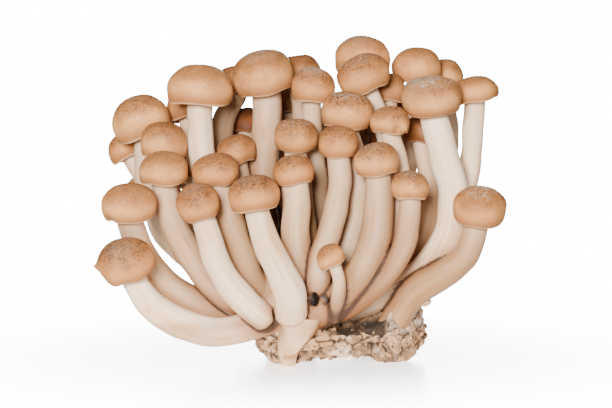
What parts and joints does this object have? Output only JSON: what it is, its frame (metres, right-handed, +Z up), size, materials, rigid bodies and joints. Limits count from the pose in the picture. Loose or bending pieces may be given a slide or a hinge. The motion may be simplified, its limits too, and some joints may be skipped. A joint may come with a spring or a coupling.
{
  "type": "brown beech mushroom cluster",
  "caption": "Cluster of brown-capped beech mushrooms on pale curved stems fused at the foot, standing on a crumbly lump of growing medium.",
  "frame": {"origin": "on the surface that the cluster stands on, below the middle of its bounding box", "axes": "+Z up, +X along its longest side, to the right seen from the front, +Y towards its back"},
  "size_m": [0.1194, 0.0836, 0.0966],
  "materials": {
    "cap_skin": "satin",
    "stem_flesh": "matte",
    "growing_medium": "matte"
  },
  "bodies": {
    "root": {"substrate_block": "growing_medium", "stem_cluster": "stem_flesh", "cap_01": "cap_skin", "cap_02": "cap_skin", "cap_03": "cap_skin", "cap_04": "cap_skin", "cap_05": "cap_skin", "cap_06": "cap_skin", "cap_07": "cap_skin", "cap_08": "cap_skin", "cap_09": "cap_skin", "cap_10": "cap_skin", "cap_11": "cap_skin", "cap_12": "cap_skin", "cap_13": "cap_skin", "cap_14": "cap_skin", "cap_15": "cap_skin", "cap_16": "cap_skin", "cap_17": "cap_skin", "cap_18": "cap_skin", "cap_19": "cap_skin", "cap_20": "cap_skin", "cap_21": "cap_skin", "cap_22": "cap_skin", "cap_23": "cap_skin", "cap_24": "cap_skin", "cap_25": "cap_skin", "cap_26": "cap_skin", "cap_27": "cap_skin", "cap_28": "cap_skin", "cap_29": "cap_skin", "cap_30": "cap_skin", "cap_31": "cap_skin", "cap_32": "cap_skin", "cap_33": "cap_skin", "cap_34": "cap_skin", "cap_35": "cap_skin", "cap_36": "cap_skin", "cap_37": "cap_skin", "cap_38": "cap_skin", "cap_39": "cap_skin", "cap_40": "cap_skin", "cap_41": "cap_skin", "cap_42": "cap_skin", "cap_43": "cap_skin", "cap_44": "cap_skin", "cap_45": "cap_skin", "cap_46": "cap_skin", "cap_47": "cap_skin"}
  },
  "joints": []
}
